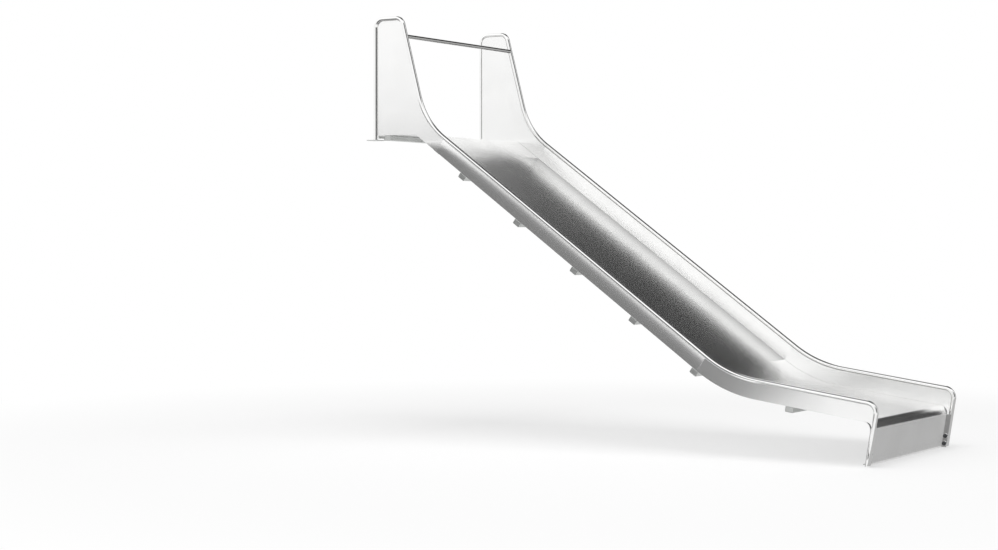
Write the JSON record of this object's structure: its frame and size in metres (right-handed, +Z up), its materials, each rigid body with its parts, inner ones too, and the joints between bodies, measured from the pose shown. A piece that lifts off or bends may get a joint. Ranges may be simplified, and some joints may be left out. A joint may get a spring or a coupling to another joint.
{
  "type": "embankment slide",
  "caption": "Wide straight chute laid on a bank: flat start between two handrail hoops with a guard bar, side panels, edge tubes, cross beams, run-out and rolled exit lip.",
  "frame": {"origin": "middle of the underside of the platform beam, where the slide bears on the top of the bank", "axes": "+X runs downhill towards the exit, level; +Y to the rider's left; +Z up. The slide is its own mirror image in the XZ plane"},
  "size_m": [4.2582, 1.634, 3.3018],
  "materials": {
    "satin_sheet": "fine satin stainless sheet",
    "polished_tube": "polished stainless tube",
    "beam_steel": "plain pickled stainless sections",
    "bright_fastener": "bright dome-head bolts and washers"
  },
  "bodies": {
    "root": {"start_bed": "satin_sheet", "slope_bed": "satin_sheet", "exit_bed": "satin_sheet", "exit_apron": "satin_sheet", "start_side_left": "satin_sheet", "start_side_right": "satin_sheet", "slope_side_left": "satin_sheet", "slope_side_right": "satin_sheet", "exit_side_left": "satin_sheet", "exit_side_right": "satin_sheet", "hoop_rail_left": "polished_tube", "hoop_rail_right": "polished_tube", "slope_rail_left": "polished_tube", "slope_rail_right": "polished_tube", "exit_rail_left": "polished_tube", "exit_rail_right": "polished_tube", "guard_bar": "polished_tube", "upper_spigot_left": "beam_steel", "upper_spigot_right": "beam_steel", "lower_spigot_left": "beam_steel", "lower_spigot_right": "beam_steel", "seam_strap": "beam_steel", "post_base_left": "beam_steel", "post_base_right": "beam_steel", "ground_angle": "beam_steel", "leg_plug_left": "beam_steel", "leg_plug_right": "beam_steel", "platform_beam": "beam_steel", "platform_beam_cap_left": "beam_steel", "platform_beam_cap_right": "beam_steel", "slope_beam_1": "beam_steel", "slope_beam_1_cap_left": "beam_steel", "slope_beam_1_cap_right": "beam_steel", "slope_beam_2": "beam_steel", "slope_beam_2_cap_left": "beam_steel", "slope_beam_2_cap_right": "beam_steel", "slope_beam_3": "beam_steel", "slope_beam_3_cap_left": "beam_steel", "slope_beam_3_cap_right": "beam_steel", "slope_beam_4": "beam_steel", "slope_beam_4_cap_left": "beam_steel", "slope_beam_4_cap_right": "beam_steel", "slope_beam_5": "beam_steel", "slope_beam_5_cap_left": "beam_steel", "slope_beam_5_cap_right": "beam_steel", "runout_beam": "beam_steel", "runout_beam_cap_left": "beam_steel", "runout_beam_cap_right": "beam_steel", "apron_bolt_lower_left": "bright_fastener", "apron_bolt_lower_right": "bright_fastener", "apron_bolt_upper_left": "bright_fastener", "apron_bolt_upper_right": "bright_fastener", "bolt_washer_lower_left": "bright_fastener", "bolt_washer_lower_right": "bright_fastener", "bolt_washer_upper_left": "bright_fastener", "bolt_washer_upper_right": "bright_fastener"}
  },
  "joints": []
}
